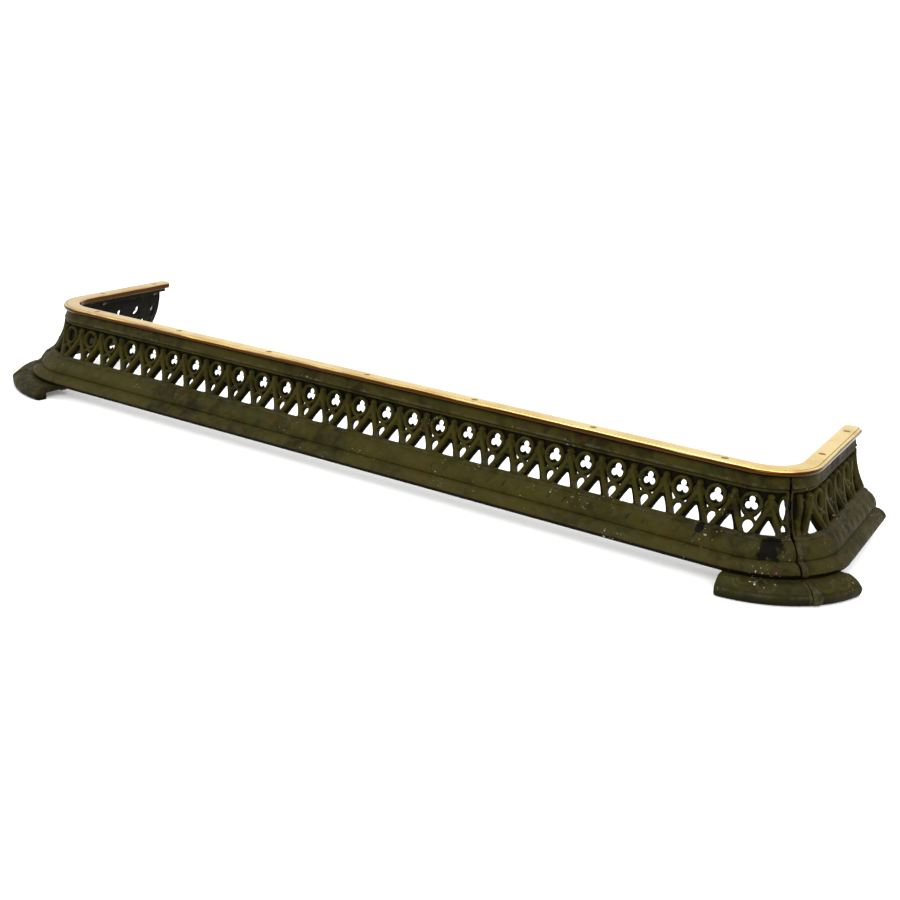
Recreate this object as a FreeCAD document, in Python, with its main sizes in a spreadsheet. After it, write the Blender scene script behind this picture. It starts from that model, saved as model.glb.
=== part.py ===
import FreeCAD, Part
import math
import os

# Hearth fender: a low pierced cast-iron surround with a moulded base, two corner feet and a brass rail.
# X runs along the front, +Y points to the fireplace wall, +Z is up. The sheet's lengths are millimetres.
# Offsets are measured outwards from the frieze face, which is the upright face of the pierced band.
# Angles are measured round a corner, from the front (0 degrees) to the return (90 degrees).

Vector = FreeCAD.Vector
UP = Vector(0, 0, 1)

DIMENSIONS = {
    # pattern and plan
    "bay_pitch": 48, "straight_bays": 25, "seam_bays": 14, "corner_radius": 79, "return_end": 281,
    "rail_end": 297, "first_return_ring": 77, "return_bays": 4, "seam_angle": 45, "seam_gap_angle": 0.25,
    # heights and reach of the casting's mouldings
    "wall": 8, "band_top": 140.5, "band_bottom": 127, "frieze_top": 122, "frieze_foot": 66,
    "leaf_top": 63, "leaf_foot": 41, "nosing_height": 28.5, "base_bottom": 22.5,
    "band_set_back": 3.5, "flare_reach": 21, "leaf_reach": 43, "base_reach": 60, "fascia_reach": 58,
    "flange_reach": 22, "flange_thickness": 6,
    # pierced pattern
    "ring_height": 102, "lobe_radius": 5.2, "drop_height": 76, "drop_radius": 6.2, "drop_point": 63.5,
    "arch_half_width": 12, "arch_top": 88, "arch_sill": 67,
    # brass rail
    "rail_thickness": 9.5, "rail_width": 28, "rail_overhang": 3,
    # corner feet
    "foot_reach": 94, "foot_heel": 16, "foot_toe": 18, "foot_arch": 11, "foot_edge": 11,
    "foot_front_angle": 2, "foot_return_angle": 76,
    # joints and fasteners
    "lug_thickness": 7, "lug_reach": 32, "foot_flange": 7,
    "cover_angle": 4.5, "cover_rise": 2.2, "cover_gap": 0.15,
    "bolt_diameter": 6, "hole_clearance": 0.6, "nut_width": 10, "nut_thickness": 5,
    "washer_diameter": 12, "washer_thickness": 1.5, "screw_diameter": 5, "screw_head": 10,
    "screw_inset": 13, "screw_bays": 4,
}

os.makedirs("parts", exist_ok=True)
doc = FreeCAD.newDocument("hearth_fender")
sheet = doc.addObject("Spreadsheet::Sheet", "sizes")
for row, (alias, value) in enumerate(DIMENSIONS.items(), start=1):
    sheet.set("A%d" % row, alias)
    sheet.set("B%d" % row, str(value))
    sheet.setAlias("B%d" % row, alias)
doc.recompute()


def size(alias):
    """The value of one cell of the sheet."""
    return float(sheet.get(alias))


PITCH = size("bay_pitch")
RADIUS = size("corner_radius")
STRAIGHT_HALF = size("seam_bays") * PITCH - RADIUS * math.pi / 4
HALF_WIDTH = STRAIGHT_HALF + RADIUS
RAIL_TOP = size("band_top") + size("rail_thickness")
# The plan's middle, so that the document's origin is under the middle of the whole fender.
PLAN_MIDDLE = (size("rail_end") - size("foot_reach")) / 2
# Openings are cut from a plane in front of the wall to behind the wall.
CUT_STAND_OFF, CUT_DEPTH = 34, 62
# Points on the mouldings' curves: the hollow frieze, the leaf band and the large ovolo.
FRIEZE_HOLLOW, LEAF_MIDDLE, OVOLO_MIDDLE = (5.5, 97), (37.5, 54.5), (54, 36.5)
SEAM = size("seam_angle")
GAP = size("seam_gap_angle")
SUBPARTS = []


def corner_point(side, angle, offset, height):
    """A point at an offset from the frieze face, at an angle round one corner."""
    turn = math.radians(angle)
    reach = RADIUS + offset
    return Vector(side * (STRAIGHT_HALF + reach * math.sin(turn)), RADIUS - reach * math.cos(turn), height)


# ---- outlines ------------------------------------------------------------------------------------------

def line(start, end):
    return ("line", start, end)


def arc(start, middle, end):
    return ("arc", start, middle, end)


def chain(points):
    """Straight edges through the points in turn."""
    return [line(start, end) for start, end in zip(points, points[1:])]


def frieze_curve(offset, forward=True):
    """The hollow curve of the pierced wall, moved in or out by an offset."""
    top = (offset, size("frieze_top"))
    middle = (offset + FRIEZE_HOLLOW[0], FRIEZE_HOLLOW[1])
    foot = (offset + size("flare_reach"), size("frieze_foot"))
    return arc(top, middle, foot) if forward else arc(foot, middle, top)


def casting_section():
    """The casting's section, as (offset, height) edges: rail flange, band, pierced wall and moulded base."""
    wall = size("wall")
    band_top, band_bottom = size("band_top"), size("band_bottom")
    flange_under = band_top - size("flange_thickness")
    bead = band_bottom - 2
    leaf_start = (size("flare_reach") + 6.5, size("leaf_top"))
    leaf_end = (size("leaf_reach"), size("leaf_foot"))
    ovolo_start = (size("leaf_reach") + 2, size("leaf_foot") - 1)
    nosing = (size("base_reach"), size("nosing_height"))
    outside = chain([(-size("flange_reach"), band_top), (-size("band_set_back"), band_top),
                     (-0.5, band_bottom + 1.5), (1.2, band_bottom), (1.2, bead), (-1.5, bead - 1.5),
                     (0, size("frieze_top"))])
    outside.append(frieze_curve(0))
    outside += chain([(size("flare_reach"), size("frieze_foot")), leaf_start])
    outside.append(arc(leaf_start, LEAF_MIDDLE, leaf_end))
    outside += chain([leaf_end, ovolo_start])
    outside.append(arc(ovolo_start, OVOLO_MIDDLE, nosing))
    outside += chain([nosing, (size("fascia_reach") + 0.5, nosing[1] - 1.5),
                      (size("fascia_reach"), size("base_bottom"))])
    inside = chain([(size("fascia_reach"), size("base_bottom")),
                    (size("fascia_reach") - wall, size("base_bottom")),
                    (size("leaf_reach") - wall, size("leaf_foot") - 5),
                    (size("flare_reach") - wall, size("leaf_top") - 4),
                    (size("flare_reach") - wall, size("frieze_foot"))])
    inside.append(frieze_curve(-wall, forward=False))
    inside += chain([(-wall, size("frieze_top")), (-wall, flange_under),
                     (-size("flange_reach"), flange_under), (-size("flange_reach"), band_top)])
    return outside + inside


def rail_section():
    """The rail's section: a flat top with a rounded nose outside and a softened inner edge."""
    under, top = size("band_top"), RAIL_TOP
    outer = size("rail_overhang")
    inner = outer - size("rail_width")
    nose = (top - under) / 2
    return (chain([(outer - nose, under), (inner, under), (inner, top - 2), (inner + 2, top),
                   (outer - nose, top)])
            + [arc((outer - nose, top), (outer, under + nose), (outer - nose, under))])


def foot_section():
    """The foot's section: a toe that stands on the hearth under a sloping rounded cap."""
    reach, heel, edge = size("foot_reach"), size("foot_heel"), size("foot_edge")
    cap = size("base_bottom") - 0.3
    return (chain([(reach - 2, 0), (reach - 0.5, 2), (reach, edge)])
            + [arc((reach, edge), (reach - 9, edge + 8), (size("base_reach") + 4, cap))]
            + chain([(size("base_reach") + 4, cap), (heel, cap), (heel, size("foot_arch")),
                     (reach - size("foot_toe"), size("foot_arch")), (reach - size("foot_toe"), 0),
                     (reach - 2, 0)]))


def trefoil(centre, height):
    """Three equal lobes, one up and two down, that meet in cusps."""
    radius = size("lobe_radius")
    cusp = radius / 2 + math.sqrt(radius ** 2 - 0.75 * radius ** 2)
    edges = []
    for lobe in range(3):
        up = math.radians(90 + 120 * lobe)
        first, last = up - math.pi / 3, up + math.pi / 3
        start = (centre + cusp * math.cos(first), height + cusp * math.sin(first))
        crown = (centre + 2 * radius * math.cos(up), height + 2 * radius * math.sin(up))
        end = (centre + cusp * math.cos(last), height + cusp * math.sin(last))
        edges.append(arc(start, crown, end))
    return edges


def teardrop(centre):
    """A round head over a pointed foot."""
    radius, height, point = size("drop_radius"), size("drop_height"), size("drop_point")
    lean = math.acos(radius / (height - point))
    side_x, side_z = radius * math.sin(lean), height - radius * math.cos(lean)
    left, right = (centre - side_x, side_z), (centre + side_x, side_z)
    return [arc(left, (centre, height + radius), right)] + chain([right, (centre, point + 1), left])


def side_light(centre, side):
    """One side light between the ring, the teardrop's rim and the raking bar."""
    points = [(15, 95.5), (10.8, 90.4), (5.2, 86.8), (6.4, 83.6), (8.7, 80.4), (12.2, 86.3)]
    mirrored = [(centre + side * across, up) for across, up in points]
    return chain(mirrored + mirrored[:1])


def arch(centre, left=1.0, right=1.0):
    """The pointed light under two raking bars."""
    width, sill = size("arch_half_width"), size("arch_sill")
    points = [(centre - width * left, sill), (centre, size("arch_top")), (centre + width * right, sill)]
    return chain(points + points[:1])


def bay_outlines(centre, arches=(-1, 1)):
    """Every opening that belongs to one ring, with the lights under the bars beside it."""
    outlines = [trefoil(centre, size("ring_height")), teardrop(centre)]
    outlines += [side_light(centre, side) for side in (-1, 1)]
    outlines += [arch(centre + side * PITCH / 2) for side in arches]
    return outlines


def corner_leaf(centre):
    """The two leaf-shaped lights beside the seam: a tall one over a short one."""
    outlines = []
    for low, high, half in ((84, 112, 5.5), (67, 80, 4)):
        middle = (low + high) / 2
        outlines.append([arc((centre, low), (centre - half, middle), (centre, high)),
                         arc((centre, high), (centre + half, middle), (centre, low))])
    return outlines


# ---- document helpers ----------------------------------------------------------------------------------

def make_body(label):
    body = doc.addObject("PartDesign::Body", label)
    body.Label = label
    body.Placement = FreeCAD.Placement(Vector(0, -PLAN_MIDDLE, 0), FreeCAD.Rotation())
    SUBPARTS.append(body)
    return body


def origin_feature(body, role):
    return next(item for item in body.Origin.OriginFeatures if item.Role == role)


def add_sketch(body, name, outlines, role="XZ_Plane", base=Vector(), turn=0, mirror=1):
    """A sketch on one of the body's own planes, moved by base and turned about the vertical."""
    sketch = body.newObject("Sketcher::SketchObject", name)
    sketch.AttachmentSupport = [(origin_feature(body, role), "")]
    sketch.MapMode = "FlatFace"
    sketch.AttachmentOffset = FreeCAD.Placement(base, FreeCAD.Rotation(Vector(0, 1, 0), turn))
    for outline in outlines:
        for edge in outline:
            points = [Vector(mirror * across, up, 0) for across, up in edge[1:]]
            if edge[0] == "line":
                sketch.addGeometry(Part.LineSegment(*points), False)
            else:
                sketch.addGeometry(Part.Arc(*points), False)
    return sketch


def bind(item, **cells):
    """Drive properties of one feature from the sheet's cells."""
    for name, formula in cells.items():
        item.setExpression(name, formula)


def plan_base(point):
    """The same point as an offset of a sketch on the XZ plane."""
    return Vector(point.x, point.z, -point.y)


def radial_sketch(body, name, side, angle, outline):
    """A sketch in the upright plane through a corner's axis, drawn in offsets from the frieze face."""
    shifted = [(edge[0],) + tuple((RADIUS + offset, up) for offset, up in edge[1:]) for edge in outline]
    centre = plan_base(Vector(side * STRAIGHT_HALF, RADIUS, 0))
    return add_sketch(body, name, [shifted], base=centre, turn=-90 + side * angle)


def add_pad(body, name, sketch, midplane=False, reverse=False, **cells):
    pad = body.newObject("PartDesign::Pad", name)
    pad.Profile = sketch
    pad.Midplane = midplane
    pad.Reversed = reverse
    bind(pad, **cells)
    return pad


def add_turn(body, name, sketch, side, **cells):
    """Turn a radial sketch about its corner's axis, from the front towards the return."""
    turned = body.newObject("PartDesign::Revolution", name)
    turned.Profile = sketch
    turned.ReferenceAxis = (sketch, ["V_Axis"])
    turned.Reversed = side < 0
    bind(turned, **cells)
    return turned


def add_pocket(body, name, sketch, depth, reverse=False):
    """Cut a sketch into the body, and stop if nothing was removed."""
    doc.recompute()
    before = body.Shape.Volume
    pocket = body.newObject("PartDesign::Pocket", name)
    pocket.Profile = sketch
    pocket.Length = depth
    pocket.Reversed = reverse
    doc.recompute()
    if pocket.Shape.isNull() or pocket.Shape.Volume > before - 1:
        raise RuntimeError("%s in %s cuts nothing" % (name, body.Label))
    return pocket


def pierce(body, name, side, angle, along, outlines):
    """Cut openings through a flat view of the wall, at an angle round a corner and along the return."""
    point = corner_point(side, angle, CUT_STAND_OFF, 0) + Vector(0, along, 0)
    sketch = add_sketch(body, name + "_outline", outlines, base=plan_base(point),
                        turn=side * angle, mirror=side)
    return add_pocket(body, name, sketch, CUT_DEPTH)


def round_holes(body, name, centres, diameter, low, high):
    """Upright round holes through everything between two heights."""
    sketch = body.newObject("Sketcher::SketchObject", name + "_circles")
    sketch.AttachmentSupport = [(origin_feature(body, "XY_Plane"), "")]
    sketch.MapMode = "FlatFace"
    sketch.AttachmentOffset = FreeCAD.Placement(Vector(0, 0, high), FreeCAD.Rotation())
    for centre in centres:
        sketch.addGeometry(Part.Circle(Vector(centre.x, centre.y, 0), UP, diameter / 2), False)
    return add_pocket(body, name, sketch, high - low)


def check_objects():
    """Stop if any object failed to compute."""
    for item in doc.Objects:
        if "Invalid" in item.State or "Error" in item.State:
            raise RuntimeError("%s failed: %s" % (item.Label, item.State))


# ---- places shared by mating pieces --------------------------------------------------------------------

FOOT_BOLT_OFFSET = 26
FRONT_FOOT_BOLTS = (10, 34)
RETURN_FOOT_BOLTS = (55, 69)
UPPER_LUG_BOLT = (-20, 121)
LOWER_LUG_BOLT = (4, 46)
HOLE = size("bolt_diameter") + size("hole_clearance")


def front_screws():
    """Screw places along the front, in bays from the middle."""
    step = size("screw_bays") * PITCH
    return [Vector(count * step, size("screw_inset"), 0) for count in range(-3, 4)]


def return_screws(side):
    """Screw places along one return."""
    across = side * (HALF_WIDTH - size("screw_inset"))
    return [Vector(across, size("first_return_ring") + bays * PITCH, 0) for bays in (1, 3.8)]


def foot_bolts(side, angles):
    return [corner_point(side, angle, FOOT_BOLT_OFFSET, 0) for angle in angles]


def lug_outline(upper):
    """The joint lug behind the band, or the one behind the base."""
    if upper:
        top = size("band_top") - size("flange_thickness") + 1
        points = [(-5, top), (-size("lug_reach"), top), (-size("lug_reach"), 108), (-5, 108)]
    else:
        points = [(16, 62), (-8, 62), (-8, 34), (40, 34)]
    return chain(points + points[:1])


def foot_flange_outline():
    low, thick = size("base_bottom"), size("foot_flange")
    points = [(size("foot_heel"), low), (52, low), (52, low + thick), (size("foot_heel"), low + thick)]
    return chain(points + points[:1])


def add_lugs(body, side, angle, reverse):
    """Both joint lugs of a casting, on the seam face at the given angle, with their bolt holes."""
    for label, upper, bolt in (("upper", True, UPPER_LUG_BOLT), ("lower", False, LOWER_LUG_BOLT)):
        name = "%s_lug_%s" % (label, "left" if side < 0 else "right")
        sketch = radial_sketch(body, name + "_outline", side, angle, lug_outline(upper))
        add_pad(body, name, sketch, reverse=reverse, Length="sizes.lug_thickness")
        hole = body.newObject("Sketcher::SketchObject", name + "_circle")
        hole.AttachmentSupport = sketch.AttachmentSupport
        hole.MapMode = "FlatFace"
        hole.AttachmentOffset = sketch.AttachmentOffset
        hole.addGeometry(Part.Circle(Vector(RADIUS + bolt[0], bolt[1], 0), UP, HOLE / 2), False)
        add_pocket(body, name + "_hole", hole, 2 * size("lug_thickness"), reverse=not reverse)


# ---- castings ------------------------------------------------------------------------------------------

def front_casting():
    """The long pierced front, with the front half of both corners."""
    body = make_body("front_casting")
    section = add_sketch(body, "front_section", [casting_section()], role="YZ_Plane", mirror=-1)
    front = add_pad(body, "front_run", section, midplane=True)
    front.Length = 2 * STRAIGHT_HALF
    pierce(body, "first_arch", -1, 0, 0, [arch(12.5 * PITCH - STRAIGHT_HALF)])
    last_ring = (13 * PITCH - STRAIGHT_HALF) / RADIUS
    arch_turn = (13.5 * PITCH - STRAIGHT_HALF) / RADIUS
    leaf_turn = (13.86 * PITCH - STRAIGHT_HALF) / RADIUS
    for side in (-1, 1):
        hand = "left" if side < 0 else "right"
        corner = radial_sketch(body, hand + "_corner_section", side, 0, casting_section())
        add_turn(body, hand + "_corner", corner, side, Angle="sizes.seam_angle - sizes.seam_gap_angle")
        flange = radial_sketch(body, hand + "_flange_section", side, 4, foot_flange_outline())
        add_turn(body, hand + "_foot_flange", flange, side, Angle="sizes.seam_angle - 8")
        add_lugs(body, side, SEAM - GAP, reverse=side < 0)
        ring = [trefoil(0, size("ring_height")), teardrop(0), side_light(0, -1), side_light(0, 1)]
        pierce(body, hand + "_last_ring", side, math.degrees(last_ring), 0, ring)
        pierce(body, hand + "_last_arch", side, math.degrees(arch_turn), 0, [arch(0, right=0.8)])
        pierce(body, hand + "_leaves", side, math.degrees(leaf_turn), 0, corner_leaf(0))
        round_holes(body, hand + "_foot_holes", foot_bolts(side, FRONT_FOOT_BOLTS), HOLE,
                    size("base_bottom") - 1, size("base_bottom") + size("foot_flange") + 1)
    round_holes(body, "screw_holes", front_screws(), size("screw_diameter") + size("hole_clearance"),
                size("band_top") - size("flange_thickness") - 1, size("band_top") + 1)
    bay = add_sketch(body, "bay_outline", bay_outlines(0, arches=(1,)),
                     base=Vector(-(size("straight_bays") - 1) / 2 * PITCH, 0, CUT_STAND_OFF))
    first = add_pocket(body, "first_bay", bay, CUT_DEPTH)
    bays = body.newObject("PartDesign::LinearPattern", "bays")
    bays.Originals = [first]
    bays.Direction = (bay, ["H_Axis"])
    bind(bays, Length="(sizes.straight_bays - 1) * sizes.bay_pitch", Occurrences="sizes.straight_bays")
    body.Tip = bays
    return body


def return_casting(side):
    """One short side, with the return half of its corner, ending in a bar beside a leaf light."""
    hand = "left" if side < 0 else "right"
    body = make_body(hand + "_return_casting")
    corner = radial_sketch(body, hand + "_corner_section", side, SEAM + GAP, casting_section())
    add_turn(body, hand + "_corner", corner, side, Angle="90 - sizes.seam_angle - sizes.seam_gap_angle")
    run = radial_sketch(body, hand + "_run_section", side, 90, casting_section())
    add_pad(body, hand + "_run", run, reverse=side > 0, Length="sizes.return_end - sizes.corner_radius")
    flange = radial_sketch(body, hand + "_flange_section", side, SEAM + 4, foot_flange_outline())
    add_turn(body, hand + "_foot_flange", flange, side, Angle="sizes.foot_return_angle - sizes.seam_angle - 6")
    add_lugs(body, side, SEAM + GAP, reverse=side > 0)
    first = size("first_return_ring")
    arch_turn = 90 - math.degrees((PITCH / 2 + first - RADIUS) / RADIUS)
    pierce(body, hand + "_first_arch", side, arch_turn, 0, [arch(0)])
    round_holes(body, hand + "_foot_holes", foot_bolts(side, RETURN_FOOT_BOLTS), HOLE,
                size("base_bottom") - 1, size("base_bottom") + size("foot_flange") + 1)
    round_holes(body, hand + "_screw_holes", return_screws(side),
                size("screw_diameter") + size("hole_clearance"),
                size("band_top") - size("flange_thickness") - 1, size("band_top") + 1)
    outlines = []
    for count in range(int(size("return_bays"))):
        outlines += bay_outlines(count * PITCH, arches=(1,))
    outlines += corner_leaf(size("return_end") - first - 15)[:1]
    pierce(body, hand + "_bays", side, 90, first - RADIUS, outlines)
    return body


def corner_foot(side, place):
    """Half of a corner foot, bolted under its casting and split at the same seam."""
    hand = "left" if side < 0 else "right"
    body = make_body("%s_%s_foot" % (hand, place))
    start = size("foot_front_angle") if place == "front" else SEAM + GAP
    section = radial_sketch(body, body.Label + "_section", side, start, foot_section())
    if place == "front":
        sweep = "sizes.seam_angle - sizes.seam_gap_angle - sizes.foot_front_angle"
    else:
        sweep = "sizes.foot_return_angle - sizes.seam_angle - sizes.seam_gap_angle"
    add_turn(body, body.Label + "_cap", section, side, Angle=sweep)
    angles = FRONT_FOOT_BOLTS if place == "front" else RETURN_FOOT_BOLTS
    round_holes(body, body.Label + "_holes", foot_bolts(side, angles), HOLE,
                size("foot_arch") - 1, size("base_bottom") + 1)
    return body


def joint_cover(side):
    """The raised strip over the joint in the base, on the return side of the seam."""
    hand = "left" if side < 0 else "right"
    body = make_body(hand + "_joint_cover")
    rise = size("cover_rise")
    face = [(size("flare_reach") + 6.5, size("leaf_top")), LEAF_MIDDLE,
            (size("leaf_reach"), size("leaf_foot")),
            (size("leaf_reach") + 2, size("leaf_foot") - 1), OVOLO_MIDDLE,
            (size("base_reach"), size("nosing_height")), (size("base_reach"), size("base_bottom"))]
    gap = size("cover_gap")
    inner = [(offset + gap, up + gap) for offset, up in face]
    outer = [(offset + rise, up + rise) for offset, up in face[:-1]]
    outer.append((size("base_reach") + rise, size("base_bottom")))
    inner[-1] = (size("base_reach") + gap, size("base_bottom"))
    outline = (chain([inner[0], outer[0]]) + [arc(*outer[0:3])] + chain(outer[2:4]) + [arc(*outer[3:6])]
               + chain([outer[5], outer[6], inner[6], inner[5]]) + [arc(*inner[5:2:-1])]
               + chain([inner[3], inner[2]]) + [arc(*inner[2::-1])])
    section = radial_sketch(body, body.Label + "_section", side, SEAM + GAP, outline)
    add_turn(body, body.Label + "_strip", section, side, Angle="sizes.cover_angle")
    return body


def top_rail():
    """One length of brass bent round both corners, with rounded ends and countersunk screw holes."""
    body = make_body("top_rail")
    section = add_sketch(body, "rail_section", [rail_section()], role="YZ_Plane", mirror=-1)
    front = add_pad(body, "rail_front", section, midplane=True)
    front.Length = 2 * STRAIGHT_HALF
    tip = size("rail_width") * 0.35
    middle = HALF_WIDTH + size("rail_overhang") - size("rail_width") / 2
    half = size("rail_width") / 2
    back, spare = size("rail_end"), 3
    for side in (-1, 1):
        hand = "left" if side < 0 else "right"
        bend = radial_sketch(body, hand + "_bend_section", side, 0, rail_section())
        add_turn(body, hand + "_bend", bend, side, Angle="90")
        run = radial_sketch(body, hand + "_side_section", side, 90, rail_section())
        add_pad(body, hand + "_side", run, reverse=side > 0, Length="sizes.rail_end - sizes.corner_radius")
        near, far = (side * (middle - half), back - tip), (side * (middle + half), back - tip)
        round_end = [arc(near, (side * middle, back), far)]
        round_end += chain([far, (side * (middle + half + spare), back - tip),
                            (side * (middle + half + spare), back + spare),
                            (side * (middle - half - spare), back + spare),
                            (side * (middle - half - spare), back - tip), near])
        end = add_sketch(body, hand + "_end_outline", [round_end], role="XY_Plane",
                         base=Vector(0, 0, RAIL_TOP + 1))
        add_pocket(body, hand + "_end", end, size("rail_thickness") + 2)
    screws = front_screws() + return_screws(-1) + return_screws(1)
    round_holes(body, "screw_holes", screws, size("screw_diameter") + 0.4, size("band_top") - 1, RAIL_TOP + 1)
    sinks = round_holes(body, "countersinks", screws, size("screw_head") + 0.4, RAIL_TOP - 2.6, RAIL_TOP)
    sinks.TaperAngle = -42
    return body


# ---- fasteners -----------------------------------------------------------------------------------------

def turned_solid(outline):
    """A solid of revolution about +Z from (radius, height) points."""
    points = [Vector(radius, 0, up) for radius, up in outline]
    face = Part.Face(Part.makePolygon(points + points[:1]))
    return face.revolve(Vector(), UP, 360)


def square_block(width, low, high):
    return Part.makeBox(width, width, high - low, Vector(-width / 2, -width / 2, low))


def place_group(label, shape, placements):
    """One node of identical solids, one at each placement."""
    copies = []
    for placement in placements:
        copy = shape.copy()
        copy.Placement = placement
        copies.append(copy)
    group = doc.addObject("Part::Feature", label)
    group.Label = label
    group.Shape = Part.makeCompound(copies)
    group.Placement = FreeCAD.Placement(Vector(0, -PLAN_MIDDLE, 0), FreeCAD.Rotation())
    SUBPARTS.append(group)


def corner_bolt_places():
    """Each corner bolt's middle, with its axis along the tangent at the seam."""
    places = []
    for side in (-1, 1):
        turn = math.radians(SEAM)
        tangent = Vector(side * math.cos(turn), math.sin(turn), 0)
        outward = Vector(side * math.sin(turn), -math.cos(turn), 0)
        rotation = FreeCAD.Rotation(outward, UP, tangent, "ZXY")
        for offset, height in (UPPER_LUG_BOLT, LOWER_LUG_BOLT):
            places.append(FreeCAD.Placement(corner_point(side, SEAM, offset, height), rotation))
    return places


def foot_bolt_places(height):
    places = []
    for side in (-1, 1):
        for angle in FRONT_FOOT_BOLTS + RETURN_FOOT_BOLTS:
            point = corner_point(side, angle, FOOT_BOLT_OFFSET, height)
            places.append(FreeCAD.Placement(point, FreeCAD.Rotation(UP, side * angle)))
    return places


def screw_places():
    points = front_screws() + return_screws(-1) + return_screws(1)
    return [FreeCAD.Placement(point, FreeCAD.Rotation()) for point in points]


def bolt_shape(low, high):
    """A square-headed bolt: the head is below low, and the shank ends at high."""
    shank = Part.makeCylinder(size("bolt_diameter") / 2, high - low, Vector(0, 0, low))
    return square_block(size("nut_width"), low - size("nut_thickness"), low).fuse(shank).removeSplitter()


def nut_shape(low):
    """A square nut with a clear bore for its bolt."""
    high = low + size("nut_thickness")
    bore = Part.makeCylinder(size("bolt_diameter") / 2 + 0.05, high - low, Vector(0, 0, low))
    return square_block(size("nut_width"), low, high).cut(bore)


def washer_shape(low):
    outer, inner = size("washer_diameter") / 2, HOLE / 2
    high = low + size("washer_thickness")
    return turned_solid([(inner, low), (outer, low), (outer, high), (inner, high)])


def add_fasteners():
    """Corner bolts through the lugs, foot bolts through the flanges, and the rail's screws and nuts."""
    lug_face = size("lug_thickness") + 0.6
    washer = size("washer_thickness")
    nut = size("nut_thickness")
    places = corner_bolt_places()
    place_group("corner_bolts", bolt_shape(-lug_face, lug_face + washer + nut + 2), places)
    place_group("corner_washers", washer_shape(lug_face), places)
    place_group("corner_nuts", nut_shape(lug_face + washer), places)
    places = foot_bolt_places(0)
    under, over = size("foot_arch"), size("base_bottom") + size("foot_flange")
    place_group("foot_washers", washer_shape(under - washer), places)
    place_group("foot_bolts", bolt_shape(under - washer, over + nut + 1), places)
    place_group("foot_nuts", nut_shape(over), places)
    head, shank = size("screw_head") / 2, size("screw_diameter") / 2
    flange_under = size("band_top") - size("flange_thickness")
    screw = turned_solid([(0, RAIL_TOP - 0.2), (head, RAIL_TOP - 0.2), (head, RAIL_TOP - 0.5),
                          (shank, RAIL_TOP - 2.9), (shank, flange_under - 6), (0, flange_under - 6)])
    slot = Part.makeBox(12, 1.2, 1.2, Vector(-6, -0.6, RAIL_TOP - 1.2))
    place_group("rail_screws", screw.cut(slot), screw_places())
    bore = Part.makeCylinder(shank + 0.05, 4, Vector(0, 0, flange_under - 4))
    nut_block = square_block(9, flange_under - 4, flange_under)
    place_group("rail_nuts", nut_block.cut(bore), screw_places())


front_casting()
for hand in (-1, 1):
    return_casting(hand)
    for place in ("front", "return"):
        corner_foot(hand, place)
    joint_cover(hand)
top_rail()
add_fasteners()
doc.recompute()
check_objects()
for part in SUBPARTS:
    shape = part.Shape
    if shape.isNull() or not shape.isValid():
        raise RuntimeError("%s has no valid shape" % part.Label)
    shape.exportStep("parts/%s.step" % part.Label)
    print("%-24s %2d solids %9.1f cm3" % (part.Label, len(shape.Solids), shape.Volume / 1000))
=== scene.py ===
"""Looks of the cast-iron hearth fender: pierced castings, corner feet, joint strips and a brass rail.

Lengths are millimetres in the outlines and turn into metres when a mesh is made. An offset is measured
outwards from the upright face of the pierced band, and a run is measured along that face from the middle
of the front, positive towards +X.
"""
import math

import bpy
import bmesh
import numpy as np
from mathutils import Matrix, Vector


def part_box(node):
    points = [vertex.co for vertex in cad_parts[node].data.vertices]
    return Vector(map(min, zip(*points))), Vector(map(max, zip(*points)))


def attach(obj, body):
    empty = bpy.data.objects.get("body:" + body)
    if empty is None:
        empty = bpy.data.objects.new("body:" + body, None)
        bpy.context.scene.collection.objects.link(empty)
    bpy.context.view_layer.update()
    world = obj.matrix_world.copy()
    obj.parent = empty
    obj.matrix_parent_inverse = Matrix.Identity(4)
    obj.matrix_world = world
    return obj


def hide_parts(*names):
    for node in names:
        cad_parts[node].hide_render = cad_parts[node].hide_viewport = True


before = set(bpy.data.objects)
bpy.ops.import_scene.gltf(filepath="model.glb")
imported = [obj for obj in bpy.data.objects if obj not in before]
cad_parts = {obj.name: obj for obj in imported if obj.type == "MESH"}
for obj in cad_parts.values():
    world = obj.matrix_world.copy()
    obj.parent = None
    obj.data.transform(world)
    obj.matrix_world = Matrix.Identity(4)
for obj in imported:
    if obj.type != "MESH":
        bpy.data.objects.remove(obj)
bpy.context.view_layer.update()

MM = 0.001
# plan
PITCH = 48.0
RADIUS = 79.0
SEAM_BAYS = 14
STRAIGHT = SEAM_BAYS * PITCH - RADIUS * math.pi / 4
BEND = RADIUS * math.pi / 2
RETURN_END = 281.0
RAIL_END = 297.0
FIRST_RETURN_RING = 77.0
RETURN_RINGS = 4
SEAM = SEAM_BAYS * PITCH
SEAM_GAP = 0.35
RUN_END = STRAIGHT + BEND + RETURN_END - RADIUS
FIRST_RING_RUN = STRAIGHT + BEND + FIRST_RETURN_RING - RADIUS
LEAF_RUN = 13.86 * PITCH
END_LEAF_RUN = RUN_END - 15
# heights and offsets
WALL = 8.0
BAND_TOP = 140.5
FRIEZE_TOP = 122.0
FRIEZE_FOOT = 66.0
FRIEZE_MIDDLE = (5.5, 97.0)
FRIEZE_LENGTH = 61.0
FLARE = 21.0
BASE_REACH = 60.0
BASE_BOTTOM = 22.5
RAIL_TOP = 150.0
RAIL_OUTER = 3.0
RAIL_WIDTH = 28.0
FOOT_REACH = 94.0
# angles round a corner, in degrees from the front
FOOT_START, FOOT_END, SEAM_ANGLE, FLANGE_INSET = 2.0, 76.0, 45.0, 4.2
LUG_THICKNESS = 7.0
FOOT_GAP = 0.25
FOOT_CORNER = 7.0
FOOT_MIDDLE = 80.0
FOOT_RELIEF = {"left": 0.35, "right": 0.8}
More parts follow.
